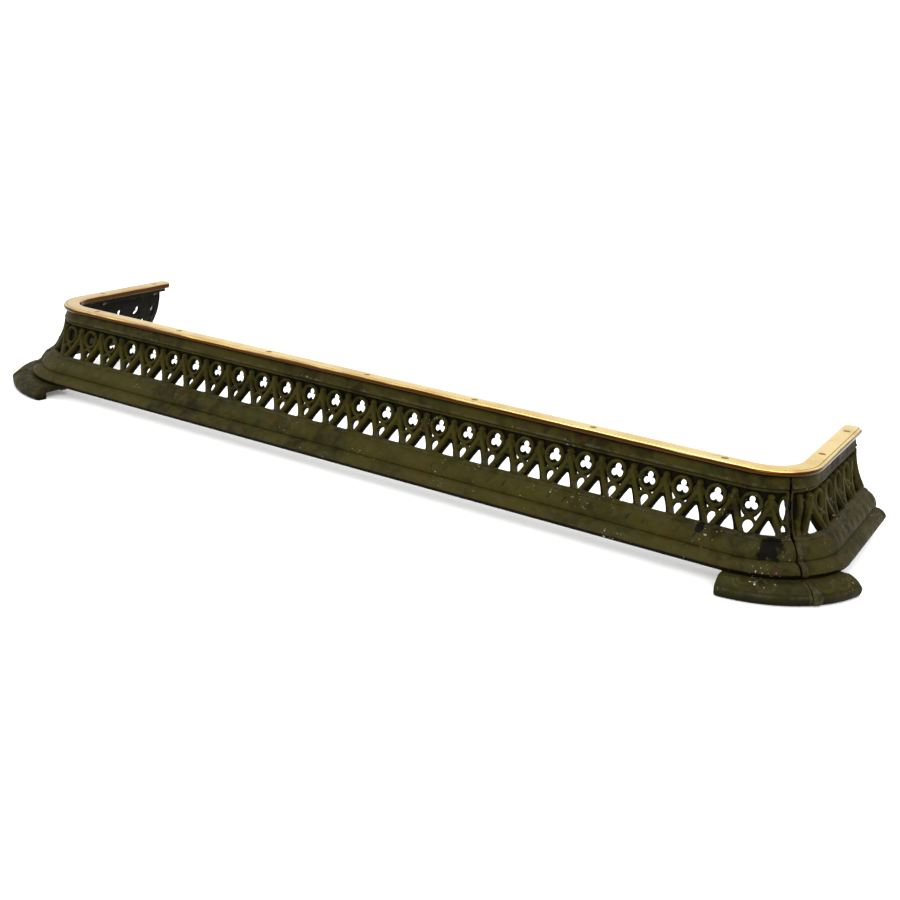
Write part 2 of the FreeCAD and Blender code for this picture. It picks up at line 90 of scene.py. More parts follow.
# pierced pattern: openings
RING_Z = 102.0
LOBE, LOBE_OUT, LOBE_HUB = 4.4, 5.0, 3.4
DROP_Z, DROP_RADIUS, DROP_POINT = 76.4, 5.8, 65.0
HOLE_FLOOR = 66.9
# pierced pattern: raised parts, as half widths and heights over the plain wall
RECESS = 5.0
RING_RADIUS, RING_HALF, RING_RISE = 13.0, 2.8, 1.7
DROP_RIM_HALF, DROP_RIM_RISE = 3.0, 2.7
STRAP_FOOT_Z, STRAP_HALF, STRAP_RISE = 60.0, 4.3, 2.4
NODE_Z, NECK_HALF, NECK_RISE = 104.0, 4.3, 3.0
PLATE_HALF, PLATE_RISE = 9.4, -0.6
BUD_Z, BUD_RADIUS, BUD_RISE = 112.6, 5.3, 4.4
LEAF_RIM_HALF, LEAF_RIM_RISE = 2.0, 1.4
END_POST_HALF, END_POST_RISE = 5.4, 1.2
STEM_HALF, STEM_RISE = 4.0, 2.2
KNOT_RADIUS, KNOT_RISE = 3.6, 3.4
SEAM_SHADE_WIDTH = 1.6
# the castings' tone, from 0 for the darkest painted shade to 1 for clean paint; the back faces, the fascia
# under the nosing and the lugs get painted shade
BACK_TONE, FASCIA_TONE, LUG_TONE = 0.1, 0.34, 0.25
FASCIA_TOP = 27.6
# how fine the meshes are
COLUMN = 1.2
ROW = 1.1

PLAN_MIDDLE = -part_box("front_casting")[0].y / MM - BASE_REACH


# ---- curves and distances ------------------------------------------------------------------------------

def arc_points(start, middle, end, count):
    """count + 1 points along the arc through three points."""
    (ax, ay), (bx, by), (cx, cy) = start, middle, end
    d = 2 * (ax * (by - cy) + bx * (cy - ay) + cx * (ay - by))
    ux = ((ax**2 + ay**2) * (by - cy) + (bx**2 + by**2) * (cy - ay) + (cx**2 + cy**2) * (ay - by)) / d
    uy = ((ax**2 + ay**2) * (cx - bx) + (bx**2 + by**2) * (ax - cx) + (cx**2 + cy**2) * (bx - ax)) / d
    radius = math.hypot(ax - ux, ay - uy)
    first, via, last = (math.atan2(y - uy, x - ux) for x, y in (start, middle, end))
    sweep = (last - first) % (2 * math.pi)
    if (via - first) % (2 * math.pi) > sweep:
        sweep -= 2 * math.pi
    turns = [first + sweep * k / count for k in range(count + 1)]
    return [(ux + radius * math.cos(turn), uy + radius * math.sin(turn)) for turn in turns]


def smooth(value):
    """0 below 0, 1 above 1 and a smooth step between."""
    value = np.clip(value, 0, 1)
    return value * value * (3 - 2 * value)


def segment_distance(s, z, start, end):
    """Distance to a straight line between two points."""
    ax, az = start
    dx, dz = end[0] - ax, end[1] - az
    along = np.clip(((s - ax) * dx + (z - az) * dz) / (dx * dx + dz * dz), 0, 1)
    return np.hypot(s - ax - along * dx, z - az - along * dz)


def polygon_distance(s, z, points):
    """Signed distance to a polygon's edge, negative inside."""
    distance = np.full(s.shape, 1e9)
    inside = np.zeros(s.shape, bool)
    for (ax, az), (bx, bz) in zip(points, points[1:] + points[:1]):
        distance = np.minimum(distance, segment_distance(s, z, (ax, az), (bx, bz)))
        crosses = (az > z) != (bz > z)
        inside ^= crosses & (s < ax + (z - az) * (bx - ax) / (bz - az + 1e-12))
    return np.where(inside, -distance, distance)


def trefoil_distance(u, z):
    """Signed distance to the three-lobed opening of a ring, negative inside."""
    distance = np.hypot(u, z - RING_Z) - LOBE_HUB
    for lobe in range(3):
        turn = math.radians(90 + 120 * lobe)
        centre = (LOBE_OUT * math.cos(turn), RING_Z + LOBE_OUT * math.sin(turn))
        distance = np.minimum(distance, np.hypot(u - centre[0], z - centre[1]) - LOBE)
    return distance


def drop_distance(u, z):
    """Signed distance to the drop-shaped opening under a ring, with its point down."""
    tall = DROP_Z - DROP_POINT
    sine = DROP_RADIUS / tall
    cosine = math.sqrt(1 - sine**2)
    flank = np.abs(u) * cosine - (z - DROP_POINT) * sine
    along = np.abs(u) * sine + (z - DROP_POINT) * cosine
    return np.where(along < tall * cosine, flank, np.hypot(u, z - DROP_Z) - DROP_RADIUS)


def lens_distance(u, z, low, high, half):
    """Signed distance to an upright pointed oval from low to high."""
    radius = (half**2 + ((high - low) / 2) ** 2) / (2 * half)
    middle = (low + high) / 2
    left, right = (np.hypot(u + side * (radius - half), z - middle) for side in (-1, 1))
    return np.maximum(left, right) - radius


# ---- the pierced pattern -------------------------------------------------------------------------------

FRONT_RINGS = [k * PITCH for k in range(-13, 14)]
RETURN_RING_RUNS = [FIRST_RING_RUN + k * PITCH for k in range(RETURN_RINGS)]
SIDE_LIGHT = [(15.8, 98.6), (13.6, 97.0), (11.4, 92.4), (8.4, 88.6), (5.0, 86.4), (6.2, 83.4), (8.0, 81.0),
              (10.6, 85.4), (13.6, 91.4)]
ARCH_LIGHT = [(-10.8, 67.2), (-6.6, 76.0), (-1.4, 84.5), (1.4, 84.5), (6.6, 76.0), (10.8, 67.2)]
LEAF_LIGHTS = ((84, 112, 5.5), (67, 80, 4))
FRONT_STEM = [(-24, 112), (-22.4, 100), (-17.8, 86), (-14.6, 76), (-11.5, 61)]
RETURN_STEM = [(16.5, 114), (17.5, 100), (12.5, 86), (9.5, 76), (8.5, 61)]
KNOT = (9.0, 82.5)
# how far from its middle an opening or a raised part can reach along the run
HOLE_REACH, RELIEF_REACH = 26.0, 34.0


def near(s, centre, half):
    """The columns of a grid whose run is within half of a centre."""
    return np.where(np.abs(s[:, 0] - centre) < half)[0]


def holes_of(s, z, rings, nodes, leaves):
    """Signed distance to the nearest opening, negative in the openings.

    A ring is a trefoil over a drop, a node is where two straps meet, and a leaf is a pair of pointed ovals.
    The sizes differ a little from bay to bay.
    """
    distance = np.full(s.shape, 1e3)
    uneven = np.random.default_rng(11)
    for ring in rings:
        rows = near(s, ring, HOLE_REACH)
        u, zz = s[rows] - ring, z[rows]
        found = np.minimum(trefoil_distance(u, zz) + uneven.uniform(-0.2, 0.5),
                           drop_distance(u, zz) + uneven.uniform(-0.3, 0.5))
        for side in (-1, 1):
            light = polygon_distance(side * u, zz, SIDE_LIGHT) + uneven.uniform(0.3, 1.5)
            found = np.minimum(found, light)
        distance[rows] = np.minimum(distance[rows], found)
    for node in nodes:
        rows = near(s, node, HOLE_REACH)
        found = polygon_distance(s[rows] - node, z[rows], ARCH_LIGHT) + uneven.uniform(-0.2, 0.7)
        distance[rows] = np.minimum(distance[rows], found)
    for leaf in leaves:
        rows = near(s, leaf, HOLE_REACH)
        for low, high, half in LEAF_LIGHTS:
            found = lens_distance(s[rows] - leaf, z[rows], low, high, half)
            distance[rows] = np.minimum(distance[rows], found)
    return np.maximum(distance, HOLE_FLOOR - z)


def strap(distance, half, bevel=1.7):
    """A flat-topped bar's section over a distance from its middle line."""
    return smooth((half - distance) / bevel)


def roll(distance, half):
    """A half-round section over a distance from its middle line."""
    return np.sqrt(np.clip(1 - (distance / half) ** 2, 0, 1))


def stem_distance(across, z):
    """Distance to the curved stems on both sides of a corner seam."""
    distance = np.full(across.shape, 1e3)
    for stem in (FRONT_STEM, RETURN_STEM):
        for first, second in zip(stem, stem[1:]):
            distance = np.minimum(distance, segment_distance(across, z, first, second))
    return distance


def relief_of(s, z, holes, rings, nodes, leaves, straps, ends):
    """Height of the face over the plain wall, in mm. The ground between the raised parts is recessed."""
    level = np.zeros(s.shape)

    def raise_to(rows, rise, shape):
        level[rows] = np.maximum(level[rows], (RECESS + rise) * shape)

    for ring in rings:
        rows = near(s, ring, RELIEF_REACH)
        u, zz = s[rows] - ring, z[rows]
        rim = np.hypot(u * 1.04, zz - RING_Z) - RING_RADIUS
        raise_to(rows, RING_RISE, roll(rim, RING_HALF) ** 0.6)
        raise_to(rows, DROP_RIM_RISE, roll(drop_distance(u, zz) - DROP_RIM_HALF, DROP_RIM_HALF) ** 0.6)
    for foot, node in straps:
        rows = near(s, node, RELIEF_REACH)
        middle = ((foot + node) / 2, (STRAP_FOOT_Z + NODE_Z) / 2 - 1)
        distance = np.minimum(segment_distance(s[rows], z[rows], (foot, STRAP_FOOT_Z), middle),
                              segment_distance(s[rows], z[rows], middle, (node, NODE_Z)))
        raise_to(rows, STRAP_RISE, strap(distance, STRAP_HALF, 1.3))
    for node in nodes:
        rows = near(s, node, RELIEF_REACH)
        u, zz = s[rows] - node, z[rows]
        neck = segment_distance(u, zz, (0, NODE_Z - 3), (0, BUD_Z))
        plate = segment_distance(u, zz, (0, NODE_Z - 7), (0, NODE_Z - 2))
        raise_to(rows, NECK_RISE, strap(neck, NECK_HALF))
        raise_to(rows, PLATE_RISE, strap(plate, PLATE_HALF, 1.0))
        raise_to(rows, BUD_RISE, roll(np.hypot(u, (zz - BUD_Z) * 1.08), BUD_RADIUS))
    for leaf in leaves:
        rows = near(s, leaf, RELIEF_REACH)
        for low, high, half in LEAF_LIGHTS:
            rim = lens_distance(s[rows] - leaf, z[rows], low, high, half) - 1.6
            raise_to(rows, LEAF_RIM_RISE, roll(rim, LEAF_RIM_HALF))
    for end in ends:
        rows = near(s, end, 26)
        raise_to(rows, END_POST_RISE, strap(np.abs(s[rows] - end), END_POST_HALF))
        if abs(abs(end) - SEAM) < 2:
            across = np.abs(s[rows]) - SEAM
            raise_to(rows, STEM_RISE, strap(stem_distance(across, z[rows]), STEM_HALF))
            knot = np.hypot(np.abs(across) - KNOT[0], z[rows] - KNOT[1])
            raise_to(rows, KNOT_RISE, roll(knot, KNOT_RADIUS))
    level = np.maximum(level, RECESS * smooth((69.2 - z) / 2.4))
    level = np.maximum(level, RECESS * smooth((z - 118.6) / 1.6))
    rounded = smooth((2.2 - np.clip(holes, 0, 9)) / 2.2)
    return level - RECESS - 0.7 * rounded


# ---- mapping to the plan -------------------------------------------------------------------------------

def ragged(run, z):
    """The run moved back from a seam, so that the joint there is an uneven dark line."""
    from_seam = np.abs(run) - SEAM
    side = np.sign(from_seam) * np.where(run < 0, -1.0, 1.0)
    near = smooth((5.0 - np.abs(from_seam)) / 4.6)
    wave = 0.35 + 0.55 * smooth((z - 60) / 8) * (1.1 + np.sin(z * 0.31 + 0.8) + 0.5 * np.sin(z * 0.83))
    return run + side * near * wave


def plan_place(run, offset, z):
    """Positions in metres at a run along the face, an offset from it and a height."""
    run, offset, z = np.broadcast_arrays(run, offset, z)
    run = ragged(run, z)
    side = np.where(run < 0, -1.0, 1.0)
    away = np.abs(run)
    turn = np.clip((away - STRAIGHT) / RADIUS, 0, math.pi / 2)
    beyond = np.maximum(away - STRAIGHT - BEND, 0)
    reach = RADIUS + offset
    x = np.minimum(away, STRAIGHT) + reach * np.sin(turn)
    y = RADIUS - reach * np.cos(turn) + beyond
    return np.stack([side * x * MM, (y - PLAN_MIDDLE) * MM, z * MM], axis=-1)


def seam_shade(run):
    """Lowers the paint's tone beside a corner seam: painted shade of the gap between the castings."""
    return 0.25 + 0.75 * smooth((np.abs(np.abs(run) - SEAM) - 0.4) / SEAM_SHADE_WIDTH)


def polar_place(side, angle, offset, z):
    """Positions in metres round one corner, at an angle in degrees from the front."""
    turn = np.radians(angle)
    reach = RADIUS + offset
    x = side * (STRAIGHT + reach * np.sin(turn))
    y = RADIUS - reach * np.cos(turn) - PLAN_MIDDLE
    return np.stack(np.broadcast_arrays(x * MM, y * MM, z * MM), axis=-1)


# ---- mesh helpers --------------------------------------------------------------------------------------

class Shell:
    """Vertices, faces and one 0..1 value per vertex for each named attribute."""

    def __init__(self, *names):
        self.points, self.faces, self.values = [], [], {name: [] for name in names}
        self.count = 0

    def add(self, points, faces, **values):
        """Adds points with faces counted from the first of them, and returns that first one's number."""
        points = np.asarray(points, float).reshape(-1, 3)
        base = self.count
        self.points.append(points)
        self.faces.extend(tuple(base + k for k in face) for face in faces)
        for name, store in self.values.items():
            store.append(np.broadcast_to(np.asarray(values.get(name, 0.0), float), (len(points),)).copy())
        self.count += len(points)
        return base

    def build(self, name, material, sharp=38, merge=False):
        """The finished object. merge joins vertices that lie on each other."""
        mesh = bpy.data.meshes.new(name)
        mesh.from_pydata(np.concatenate(self.points).tolist(), [], self.faces)
        for key, store in self.values.items():
            mesh.attributes.new(key, "FLOAT", "POINT").data.foreach_set("value", np.concatenate(store))
        work = bmesh.new()
        work.from_mesh(mesh)
        if merge:
            bmesh.ops.remove_doubles(work, verts=work.verts, dist=1e-6)
        bmesh.ops.recalc_face_normals(work, faces=work.faces)
        work.to_mesh(mesh)
        work.free()
        mesh.shade_smooth()
        mesh.set_sharp_from_angle(angle=math.radians(sharp))
        mesh.materials.append(material)
        piece = bpy.data.objects.new(name, mesh)
        bpy.context.scene.collection.objects.link(piece)
        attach(piece, "root")
        return piece


def grid_faces(columns, rows, closed_rows=False):
    """Quads over a grid stored column by column."""
    faces = []
    last = rows if closed_rows else rows - 1
    for i in range(columns - 1):
        for j in range(last):
            k = (j + 1) % rows
            a, b = i * rows, (i + 1) * rows
            faces.append((a + j, b + j, b + k, a + k))
    return faces


def pierced_sheet(holes):
    """The solid part of a grid: vertices as (column, row) in grid units, faces, and the hole edges."""
    columns, rows = holes.shape
    index = -np.ones(holes.shape, int)
    solid = holes > 0
    index[solid] = np.arange(solid.sum())
    places = [tuple(p) for p in np.argwhere(solid).astype(float)]
    crossings, edges = {}, []
    inside = solid[:-1, :-1].astype(int) + solid[1:, :-1] + solid[1:, 1:] + solid[:-1, 1:]
    i, j = np.where(inside == 4)
    faces = np.stack([index[i, j], index[i + 1, j], index[i + 1, j + 1], index[i, j + 1]], axis=1).tolist()

    def crossing(a, b):
        key = (a, b) if a < b else (b, a)
        if key not in crossings:
            (ai, aj), (bi, bj) = key
            share = min(max(holes[ai, aj] / (holes[ai, aj] - holes[bi, bj]), 0.1), 0.9)
            crossings[key] = len(places)
            places.append((ai + share * (bi - ai), aj + share * (bj - aj)))
        return crossings[key]

    for i, j in np.argwhere((inside > 0) & (inside < 4)):
        corners = [(i, j), (i + 1, j), (i + 1, j + 1), (i, j + 1)]
        loop = []
        for a, b in zip(corners, corners[1:] + corners[:1]):
            if solid[a]:
                loop.append((index[a], False))
            if solid[a] != solid[b]:
                loop.append((crossing(a, b), True))
        faces.append([k for k, _ in loop])
        for (a, cut_a), (b, cut_b) in zip(loop, loop[1:] + loop[:1]):
            if cut_a and cut_b and a != b:
                edges.append((a, b))
    return np.array(places), faces, edges, index


def bilinear(values, places):
    """Values of a grid at fractional grid places."""
    low = np.floor(places).astype(int)
    low[:, 0] = np.clip(low[:, 0], 0, values.shape[0] - 2)
    low[:, 1] = np.clip(low[:, 1], 0, values.shape[1] - 2)
    part = places - low
    i, j = low[:, 0], low[:, 1]
    a, b = part[:, 0], part[:, 1]
    return ((1 - a) * (1 - b) * values[i, j] + a * (1 - b) * values[i + 1, j]
            + a * b * values[i + 1, j + 1] + (1 - a) * b * values[i, j + 1])


# ---- castings ------------------------------------------------------------------------------------------

def band_profile():
    """From the top of the frieze over the band and the rail flange to the top of the inner frieze."""
    bead = [(0, FRIEZE_TOP), (-1.5, 123.5), (-0.6, 124.1), (0.6, 124.5), (1.2, 125.4), (1.2, 126.4),
            (0.5, 127.4), (-0.5, 128.2), (-1.0, 130)]
    band = [(-2.4, 135.6), (-3.3, 139.4), (-3.8, BAND_TOP)]
    flange = [(-22, BAND_TOP), (-22, 134.5), (-WALL, 134.5), (-WALL, FRIEZE_TOP)]
    return bead + band + flange


def base_profile():
    """From the foot of the frieze over the leaf band, nosing and fascia to the foot of the inner frieze."""
    ledge = [(FLARE, FRIEZE_FOOT), (23.4, 65.2), (26, 64.2), (27.6, 63.5), (27.3, 62.4), (28.6, 61.8)]
    leaf = arc_points((28.6, 61.8), (38.2, 54.0), (43.4, 42.2), 19)[1:]
    step = [(43.2, 41.2), (42.6, 40.4), (43.6, 39.8), (45.6, 39.6)]
    ovolo = arc_points((45.6, 39.6), (54.6, 36.2), (59.6, 29.8), 11)[1:]
    nosing = [(60, 29.0), (59.9, 28.2), (59.3, 27.4), (58.4, 27.0), (58.2, 26.0), (58, BASE_BOTTOM)]
    inside = [(50, BASE_BOTTOM), (35, 36), (13, 59), (13, FRIEZE_FOOT)]
    return ledge + leaf + step + ovolo + nosing + inside, len(ledge), len(ledge) + len(leaf)


def leaf_relief(run, across):
    """Two worn leaves a bay along the leaf band, with a short dart cut between them. across is 0 to 1.

    The darts are nearly worn away along the left of the front and clear on the returns.
    """
    period = PITCH / 2
    on_front = np.abs(run) < SEAM
    place = run - (0.5 - across) * np.where(on_front, 8.0, 2.0)
    u = (place + period / 2) % period - period / 2
    wear = 0.5 + 0.5 * np.sin(2.4 * np.floor(place / period)) ** 2
    crisp = wear * np.where(on_front, 0.2 + 0.9 * smooth((run + 250) / 600), 1.0)
    crown = 0.3 * np.cos(math.pi * u / period) ** 2 * smooth(across * 5) * smooth((1 - across) * 5)
    dart = 1.3 * smooth((2.5 - np.abs(np.abs(u) - period / 2)) / 1.9) * smooth((across - 0.12) / 0.12)
    dart *= smooth((0.66 - across) / 0.15)
    return crown - crisp * dart


def casting(name, start, end, rings, nodes, leaves, straps, ends, material):
    """One closed casting between two runs, mirrored by giving negative runs.

    A front and a back sheet carry the openings. Strips over the band and the base join the two.
    """
    columns = max(2, round(abs(end - start) / COLUMN)) + 1
    run = np.linspace(start, end, columns)
    hollow = arc_points((0, FRIEZE_TOP), FRIEZE_MIDDLE, (FLARE, FRIEZE_FOOT), round(FRIEZE_LENGTH / ROW))
    curve = np.array(hollow)
    rows = len(curve)
    tangent = np.gradient(curve, axis=0)
    tangent /= np.linalg.norm(tangent, axis=1)[:, None]
    normal = np.stack([-tangent[:, 1], tangent[:, 0]], axis=1)
    s = np.repeat(run[:, None], rows, axis=1)
    z = np.repeat(curve[None, :, 1], columns, axis=0)
    holes = holes_of(s, z, rings, nodes, leaves)
    places, faces, edges, index = pierced_sheet(holes)
    row = places[:, 1]
    at = {k: np.interp(row, np.arange(rows), v) for k, v in
          (("o", curve[:, 0]), ("z", curve[:, 1]), ("no", normal[:, 0]), ("nz", normal[:, 1]))}
    at_run = np.interp(places[:, 0], np.arange(columns), run)
    relief = bilinear(relief_of(s, z, holes, rings, nodes, leaves, straps, ends), places)
    relief *= smooth(row / 1.5) * smooth((rows - 1 - row) / 1.5)
    shell = Shell("raised", "ledge")
    # painted shade: the recessed ground darker and the raised parts lighter
    raised = np.clip(0.74 + relief / 11, 0, 1)
    raised = np.minimum(raised, seam_shade(at_run))
    # the flaring foot of the frieze gets a lighter grey: rubbed wear and painted highlight
    foot = smooth((72 - at["z"]) / 6) * 0.6
    front = shell.add(plan_place(at_run, at["o"] + relief * at["no"], at["z"] + relief * at["nz"]), faces,
                      raised=raised, ledge=foot)
    # the back sheet gets painted shade
    back = shell.add(plan_place(at_run, at["o"] - WALL * at["no"], at["z"] - WALL * at["nz"]),
                     [face[::-1] for face in faces], raised=BACK_TONE)
    shell.faces.extend((front + b, front + a, back + a, back + b) for a, b in edges)

    def strip(profile, ledges, relief_rows=None):
        """A strip from the front sheet's edge row round to the back sheet's edge row."""
        inner = np.array(profile[1:-1], float)
        count = len(inner)
        offsets = np.repeat(inner[None, :, 0], columns, axis=0)
        heights = np.repeat(inner[None, :, 1], columns, axis=0)
        runs = np.repeat(run[:, None], count, axis=1)
        lift = np.zeros(offsets.shape)
        if relief_rows:
            first, last = relief_rows
            across = (np.arange(count)[None, :] - first) / (last - first)
            lift = leaf_relief(runs, across) * ((across >= 0) & (across <= 1))
            slope = np.gradient(inner, axis=0)
            slope /= np.linalg.norm(slope, axis=1)[:, None] + 1e-9
            offsets = offsets - slope[None, :, 1] * lift
            heights = heights + slope[None, :, 0] * lift
        # painted shade: darker in the dart cuts, behind the wall, beside the seam and on the fascia
        tone = np.clip(0.8 + lift / 4.5, 0, 1)
        behind = (inner[:, 0] < -WALL) & (inner[:, 1] < 136)
        tone = np.where(behind[None, :], BACK_TONE, tone)
        tone = np.minimum(tone, seam_shade(runs))
        tone = np.where((inner[:, 1] < FASCIA_TOP)[None, :], FASCIA_TONE, tone)
        # lighter grey on the beads, the band's edge and the nosing: rubbed wear and painted highlight
        edge = np.interp(np.arange(count), *ledges)[None, :] + 0 * lift
        return shell.add(plan_place(runs, offsets, heights).reshape(-1, 3), grid_faces(columns, count),
                         raised=tone.ravel(), ledge=edge.ravel()), count

    def sew(edge, strip_base, count):
        """Faces from an edge row of both sheets to the strip's first and last rows."""
        for i in range(columns - 1):
            a, b = strip_base + i * count, strip_base + (i + 1) * count
            shell.faces.append((front + edge[i], a, b, front + edge[i + 1]))
            a, b = a + count - 1, b + count - 1
            shell.faces.append((back + edge[i], a, b, back + edge[i + 1]))

    # the rows and amounts of that lighter grey of rubbed wear and painted highlight
    upper, upper_count = strip(band_profile(), ([2, 4, 5, 7, 10, 11, 12], [0, 1, 1, 0, 0, 0.8, 0]))
    outline, leaf_from, leaf_to = base_profile()
    nose = len(outline) - 8
    lower, lower_count = strip(outline, ([0, 2, 4, leaf_to, leaf_to + 3, nose - 3, nose - 1, nose + 2],
                                         [0.4, 1, 0.3, 0.15, 0.4, 0.3, 1, 0.1]), (leaf_from, leaf_to))
    sew(index[:, 0], upper, upper_count)
    sew(index[:, -1], lower, lower_count)
    for i in (0, columns - 1):
        cap = [front + k for k in index[i]]
        cap += [lower + i * lower_count + k for k in range(lower_count)]
        cap += [back + k for k in index[i][::-1]]
        cap += [upper + i * upper_count + k for k in range(upper_count)][::-1]
        shell.faces.append(tuple(int(k) for k in cap))
    add_joint_lugs(shell, start, end)
    return shell.build(name, material)


def add_block(shell, outline, place, start, end, steps=1):
    """A closed prism: an (offset, height) outline carried by place(t, offset, height) from start to end."""
    outline = np.array(outline, float)
    stops = np.linspace(start, end, steps + 1)
    points = np.concatenate([place(stop, outline[:, 0], outline[:, 1]) for stop in stops])
    # the lugs sit behind the wall and get painted shade
    base = shell.add(points, grid_faces(steps + 1, len(outline), closed_rows=True), raised=LUG_TONE)
    shell.faces.append(tuple(base + k for k in range(len(outline))))
    shell.faces.append(tuple(base + steps * len(outline) + k for k in range(len(outline))))


def add_joint_lugs(shell, start, end):
    """The two bolted lugs at each seam face, and the flange over each corner foot."""
    for run in (start, end):
        if abs(abs(run) - SEAM) > 2:
            continue
        side = 1 if run > 0 else -1
        into_front = abs(start + end) < 1
        sign = -1 if into_front else 1
        turn = math.radians(SEAM_ANGLE)
        tangent = Vector((side * math.cos(turn), math.sin(turn), 0))

        def lug_place(t, offset, height):
            return polar_place(side, SEAM_ANGLE, offset, height) + np.array(tangent) * t * MM

        def flange_place(angle, offset, height):
            return polar_place(side, angle, offset, height)

        upper = [(-8, 134), (-31, 134), (-31.8, 133), (-31.8, 110), (-30, 108.2), (-8, 108.2)]
        lower = [(13, 59), (10, 61.8), (-6, 61.8), (-7.8, 60), (-7.8, 36), (-6, 34.2), (36, 34.2), (35, 36)]
        for outline in (upper, lower):
            add_block(shell, outline, lug_place, sign * 0.3, sign * LUG_THICKNESS)
        if into_front:
            low, high = FLANGE_INSET, SEAM_ANGLE - FLANGE_INSET
        else:
            low, high = SEAM_ANGLE + FLANGE_INSET, FOOT_END - 2.2
        flange = [(16.2, 22.6), (51, 22.6), (51, 29.3), (16.2, 29.3)]
        add_block(shell, flange, flange_place, low, high, 12)


def straps_of(rings):
    """Two slanting straps from the foot of each ring to the nodes beside it."""
    return [(ring, ring + side * PITCH / 2) for ring in rings for side in (-1, 1)]


def build_castings(material):
    """The front and both returns. A return has one more strap, beside the corner seam."""
    nodes = [(k + 0.5) * PITCH for k in range(-14, 14)]
    leaves = [-LEAF_RUN, LEAF_RUN]
    front = casting("front_casting_iron", -SEAM + SEAM_GAP, SEAM - SEAM_GAP, FRONT_RINGS, nodes, leaves,
                    straps_of(FRONT_RINGS), (-SEAM, SEAM), material)
    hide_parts("front_casting")
    for hand, side in (("left", -1), ("right", 1)):
        rings = [side * run for run in RETURN_RING_RUNS]
        nodes = [side * (FIRST_RING_RUN + (k - 0.5) * PITCH) for k in range(RETURN_RINGS + 1)]
        straps = straps_of(rings) + [(side * (FIRST_RING_RUN - PITCH), nodes[0])]
        piece = casting(hand + "_return_iron", side * (SEAM + SEAM_GAP), side * RUN_END, rings, nodes,
                        [side * END_LEAF_RUN], straps, (side * SEAM, side * RUN_END), material)
        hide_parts(hand + "_return_casting")


# ---- corner feet ---------------------------------------------------------------------------------------

def foot_profile():
    """Outer cap from under the fascia to the ridge, down the face, and back under the foot."""
    cap = arc_points((64, 22.2), (84.4, 19.6), (93.5, 12.0), 22)
    edge = [(93.9, 11.0), (94, 9.8), (93.8, 6.8), (93.0, 3.6), (91.4, 1.2), (89.5, 0)]
    under = [(76, 0), (76, 11), (16, 11), (16, 22.2), (40, 22.2)]
    return cap + edge + under, len(cap)


def scroll_relief(along, across):
    """The worn leaf and scrolls on half a foot.

    along is in mm from the foot's end, and across runs from 0 to 1 down the cap.
    """
    down = across * 30
    lift = np.zeros(np.broadcast(along, down).shape)
    for centre, size, width in (((34, 13), 14, 2.6), ((34, 9), 8.5, 2.0), ((62, 14), 12, 2.4)):
        turn = np.abs(np.hypot((along - centre[0]), (down - centre[1]) * 1.25) - size) - 0.2
        lift = lift + 1.3 * roll(turn, width) * (down > centre[1] - 4) * (along < 80)
    leaf = np.hypot((along - 13) / 1.5, down - 15)
    border = smooth((1.5 - np.abs(down - 26.5)) / 1.2)
    return lift + 1.5 * roll(leaf, 7.0) - 1.1 * smooth((1.3 - np.abs(leaf - 3.4)) / 1.0) - 0.45 * border


def corner_foot(hand, side, place, material):
    """Half a corner foot, on the front or the return side of the seam."""
    profile, cap_rows = foot_profile()
    profile = np.array(profile)
    on_front = place == "front"
    low, high = (FOOT_START, SEAM_ANGLE - FOOT_GAP) if on_front else (SEAM_ANGLE + FOOT_GAP, FOOT_END)
    columns = round((high - low) / 0.45) + 1
    angle = np.linspace(low, high, columns)
    free = (angle - low) if on_front else (high - angle)
    from_end = np.radians(free) * (RADIUS + FOOT_REACH)
    into_corner = np.clip(1 - from_end / FOOT_CORNER, 0, 1)
    pull = FOOT_CORNER * (1 - np.sqrt(1 - into_corner**2))
    offsets = np.repeat(profile[None, :, 0], columns, axis=0)
    heights = np.repeat(profile[None, :, 1], columns, axis=0)
    offsets = offsets - pull[:, None] * smooth((offsets - 60) / 34) * (heights < 30)
    from_seam = np.abs(angle - SEAM_ANGLE)
    seam_run = np.radians(from_seam)[:, None] * (RADIUS + FOOT_MIDDLE)
    rows = np.arange(len(profile))
    across = np.clip(rows / (cap_rows - 1), 0, 1.6)[None, :]
    strip_half = 3.6 + 3.4 * smooth(across) ** 2
    lift = 1.0 * roll(seam_run - 1.5, 2.5) if on_front else 2.4 * roll(seam_run - strip_half, strip_half)
    lift = lift + scroll_relief(np.radians(free)[:, None] * (RADIUS + FOOT_MIDDLE), across)
    live = smooth(across * 9) * smooth((1.02 - across) / 0.1) * smooth(from_end[:, None] / 5)
    strip_live = smooth(across * 6) * smooth((1.5 - across) / 0.25)
    worn = FOOT_RELIEF[hand] * live
    lift = lift * np.where(seam_run < 2 * strip_half, strip_live, worn) * (rows < cap_rows + 5)[None, :]
    slope = np.gradient(profile, axis=0)
    slope /= np.linalg.norm(slope, axis=1)[:, None]
    offsets = offsets - slope[None, :, 1] * lift
    heights = np.maximum(heights + slope[None, :, 0] * lift * (rows < cap_rows)[None, :], 0)
    offsets = np.minimum(offsets, np.where(from_seam[:, None] < 12, FOOT_REACH + 1.8, FOOT_REACH))
    shell = Shell("raised", "ledge")
    # the ridge gets a lighter grey: rubbed wear and painted highlight
    ridge = np.interp(rows, [0, 1, cap_rows - 6, cap_rows - 1, cap_rows + 2], [0.5, 0.2, 0.2, 1, 0])
    # painted shade: darker low on the foot and in its hollows, lighter on the relief
    tone = np.interp(heights, [0, 5, 11, 13], [0.30, 0.46, 0.54, 0.60]) + np.clip(lift / 4, -0.3, 0.2)
    count = len(profile)
    faces = grid_faces(columns, count, closed_rows=True)
    shell.add(polar_place(side, angle[:, None], offsets, heights), faces,
              raised=np.clip(tone, 0, 1).ravel(), ledge=np.clip(ridge[None, :] + 0.4 * lift, 0, 1).ravel())
    shell.faces.append(tuple(range(count)))
    shell.faces.append(tuple((columns - 1) * count + k for k in range(count)))
    piece = shell.build("%s_%s_foot_iron" % (hand, place), material, sharp=50, merge=True)
    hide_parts("%s_%s_foot" % (hand, place))


